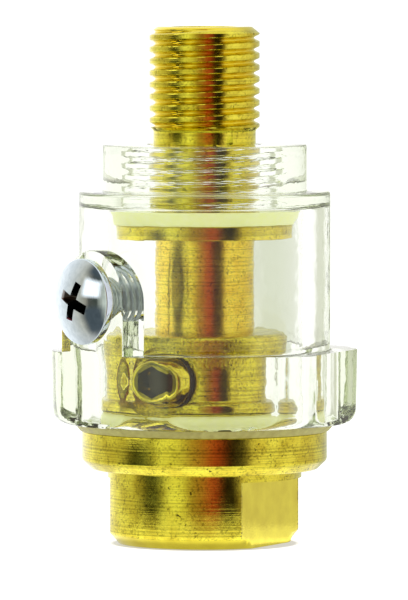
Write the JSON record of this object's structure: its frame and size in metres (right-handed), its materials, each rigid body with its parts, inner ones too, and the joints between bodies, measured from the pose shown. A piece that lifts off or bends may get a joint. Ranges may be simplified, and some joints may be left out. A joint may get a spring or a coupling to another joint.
{
  "type": "in-line air oiler",
  "caption": "In-line oiler for air tools: brass through-fitting with a threaded nipple, clear oil bowl with a filler screw, and a metering screw.",
  "frame": {"origin": "on the air passage's axis in the plane of the wrench end, which is the centre of the bounding box's bottom face", "axes": "+Z along the air passage towards the threaded nipple; -Y is the side with the filler boss and the metering screw, which lie between -X and -Y"},
  "size_m": [0.0366, 0.0356, 0.062],
  "materials": {
    "brass": "machined, bright, with fine lathe lines",
    "brass_stem": "turned bar, bright",
    "clear_plastic": "clear moulded polycarbonate, polished",
    "nylon": "translucent natural nylon",
    "black_rubber": "matt nitrile rubber",
    "chrome": "polished chrome plate"
  },
  "bodies": {
    "fitting": {"base_fitting": "brass", "stem": "brass_stem", "throat_insert": "brass", "stem_seal": "black_rubber", "base_seal": "nylon", "foot_gasket": "nylon"},
    "gasket_ring": {"bowl_gasket": "nylon"},
    "bowl": {"bowl": "clear_plastic"},
    "filler_ring": {"filler_washer": "nylon"},
    "filler": {"filler_screw": "chrome"},
    "meter_ring": {"metering_seal": "black_rubber"},
    "meter": {"metering_screw": "brass"}
  },
  "joints": [
    {"name": "bowl_turn", "type": "hinge", "parent": "fitting", "child": "gasket_ring", "pos_m": [0, 0, 0.04], "axis": [0, 0, 1], "range_deg": [0, 3600]},
    {"name": "bowl_lift", "type": "slide", "parent": "gasket_ring", "child": "bowl", "axis": [0, 0, 1], "range_m": [0, 0.01412]},
    {"name": "filler_travel", "type": "slide", "parent": "bowl", "child": "filler_ring", "axis": [-0.788, -0.6157, 0], "range_m": [0, 0.0048]},
    {"name": "filler_turn", "type": "hinge", "parent": "filler_ring", "child": "filler", "pos_m": [0, 0, 0.0296], "axis": [-0.788, -0.6157, 0], "range_deg": [0, 2161]},
    {"name": "meter_travel", "type": "slide", "parent": "fitting", "child": "meter_ring", "axis": [-0.5, -0.866, 0], "range_m": [-0.00075, 0.0001875]},
    {"name": "meter_turn", "type": "hinge", "parent": "meter_ring", "child": "meter", "pos_m": [0, 0, 0.02], "axis": [-0.5, -0.866, 0], "range_deg": [-361, 91]}
  ],
  "couplings": [
    {"joint": "bowl_lift", "follows": "bowl_turn", "m_per_rad": 0.00022457},
    {"joint": "filler_turn", "follows": "filler_travel", "rad_per_m": 7854},
    {"joint": "meter_turn", "follows": "meter_travel", "rad_per_m": 8377.6}
  ]
}
